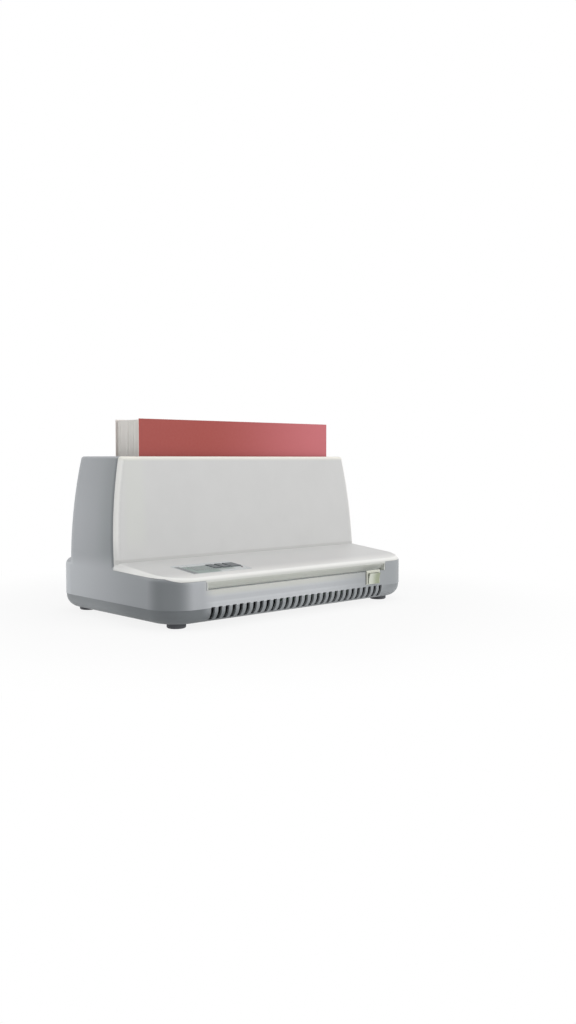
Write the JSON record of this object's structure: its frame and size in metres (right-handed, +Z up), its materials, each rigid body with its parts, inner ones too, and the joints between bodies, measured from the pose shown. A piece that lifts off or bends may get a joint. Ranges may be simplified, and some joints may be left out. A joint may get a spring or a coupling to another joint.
{
  "type": "thermal binding machine",
  "caption": "Desk machine that binds documents with heat: curved tower with a deep binding slot, sloping shelf with display and keys, front rocker switch, rear inlet, lift-out document.",
  "frame": {"origin": "on the table, below the middle of the overall box (the box runs from the rocker's high end to the inlet's rim)", "axes": "+X along the slot to the right seen from the front, +Y to the rear, +Z up"},
  "size_m": [0.384, 0.242, 0.2272],
  "materials": {
    "grey_casing": "fine textured, satin",
    "white_casing": "fine textured, satin",
    "dark_pan": "fine textured, matt",
    "foot_rubber": "matt",
    "panel_overlay": "satin film",
    "display_lens": "glossy",
    "key_plastic": "satin",
    "lamp_lens": "glossy",
    "switch_frame": "satin",
    "rocker_plastic": "glossy, translucent look",
    "liner_steel": "satin",
    "zinc_steel": "satin",
    "bed_aluminium": "satin",
    "element_film": "polyimide film",
    "insulation": "pressed fibre board",
    "black_plastic": "satin",
    "board_green": "solder mask",
    "ivory_plastic": "satin",
    "relay_blue": "satin",
    "core_iron": "varnished laminations",
    "fuse_glass": "clear",
    "cover_red": "smooth card",
    "page_paper": "stacked paper edges"
  },
  "bodies": {
    "machine": {"main_housing": "grey_casing", "front_cover": "white_casing", "rear_cover": "grey_casing", "rear_cover_screws": "zinc_steel", "base_pan": "dark_pan", "casing_screws": "zinc_steel", "foot_front_left": "foot_rubber", "foot_front_right": "foot_rubber", "foot_rear_left": "foot_rubber", "foot_rear_right": "foot_rubber", "slot_liner": "liner_steel", "heater_bed": "bed_aluminium", "heating_element": "element_film", "insulation_board": "insulation", "heater_tray": "zinc_steel", "tray_screws": "zinc_steel", "bed_thermostat": "black_plastic", "thermal_cutoff": "zinc_steel", "control_panel": "panel_overlay", "display_window": "display_lens", "display_module": "black_plastic", "status_lamp": "lamp_lens", "control_board": "board_green", "tact_switches": "black_plastic", "buzzer": "black_plastic", "control_board_screws": "zinc_steel", "power_switch_frame": "switch_frame", "mains_inlet": "black_plastic", "fuse_holder": "black_plastic", "mains_fuse": "fuse_glass", "power_board": "board_green", "power_board_screws": "zinc_steel", "transformer": "core_iron", "relay": "relay_blue", "terminal_block": "ivory_plastic", "document_sensor": "black_plastic", "sensor_pin": "zinc_steel"},
    "power_rocker": {"power_rocker": "rocker_plastic"},
    "start_key": {"start_key": "key_plastic"},
    "up_key": {"up_key": "key_plastic"},
    "down_key": {"down_key": "key_plastic"},
    "document": {"document_cover": "cover_red", "document_pages": "page_paper"},
    "sensor_lever": {"sensor_lever": "ivory_plastic"}
  },
  "joints": [
    {"name": "power_rocker_tilt", "type": "hinge", "parent": "machine", "child": "power_rocker", "pos_m": [0.1185, -0.1144, 0.0335], "axis": [-1, 0, 0], "range_deg": [0, 16]},
    {"name": "start_key_press", "type": "slide", "parent": "machine", "child": "start_key", "axis": [0, 0.1, -0.995], "range_m": [0, 0.0008], "stiffness_N_per_m": 400, "springref_m": -0.001},
    {"name": "up_key_press", "type": "slide", "parent": "machine", "child": "up_key", "axis": [0, 0.1, -0.995], "range_m": [0, 0.0008], "stiffness_N_per_m": 400, "springref_m": -0.001},
    {"name": "down_key_press", "type": "slide", "parent": "machine", "child": "down_key", "axis": [0, 0.1, -0.995], "range_m": [0, 0.0008], "stiffness_N_per_m": 400, "springref_m": -0.001},
    {"name": "document_lift", "type": "slide", "parent": "machine", "child": "document", "axis": [0, 0, 1], "range_m": [0, 0.2]},
    {"name": "sensor_lever_swing", "type": "hinge", "parent": "machine", "child": "sensor_lever", "pos_m": [0.1063, -0.0047, 0.044], "axis": [1, 0, 0], "range_deg": [0, 17.2]}
  ],
  "couplings": [
    {"joint": "sensor_lever_swing", "follows": "document_lift", "rad_per_m": 1.5}
  ]
}
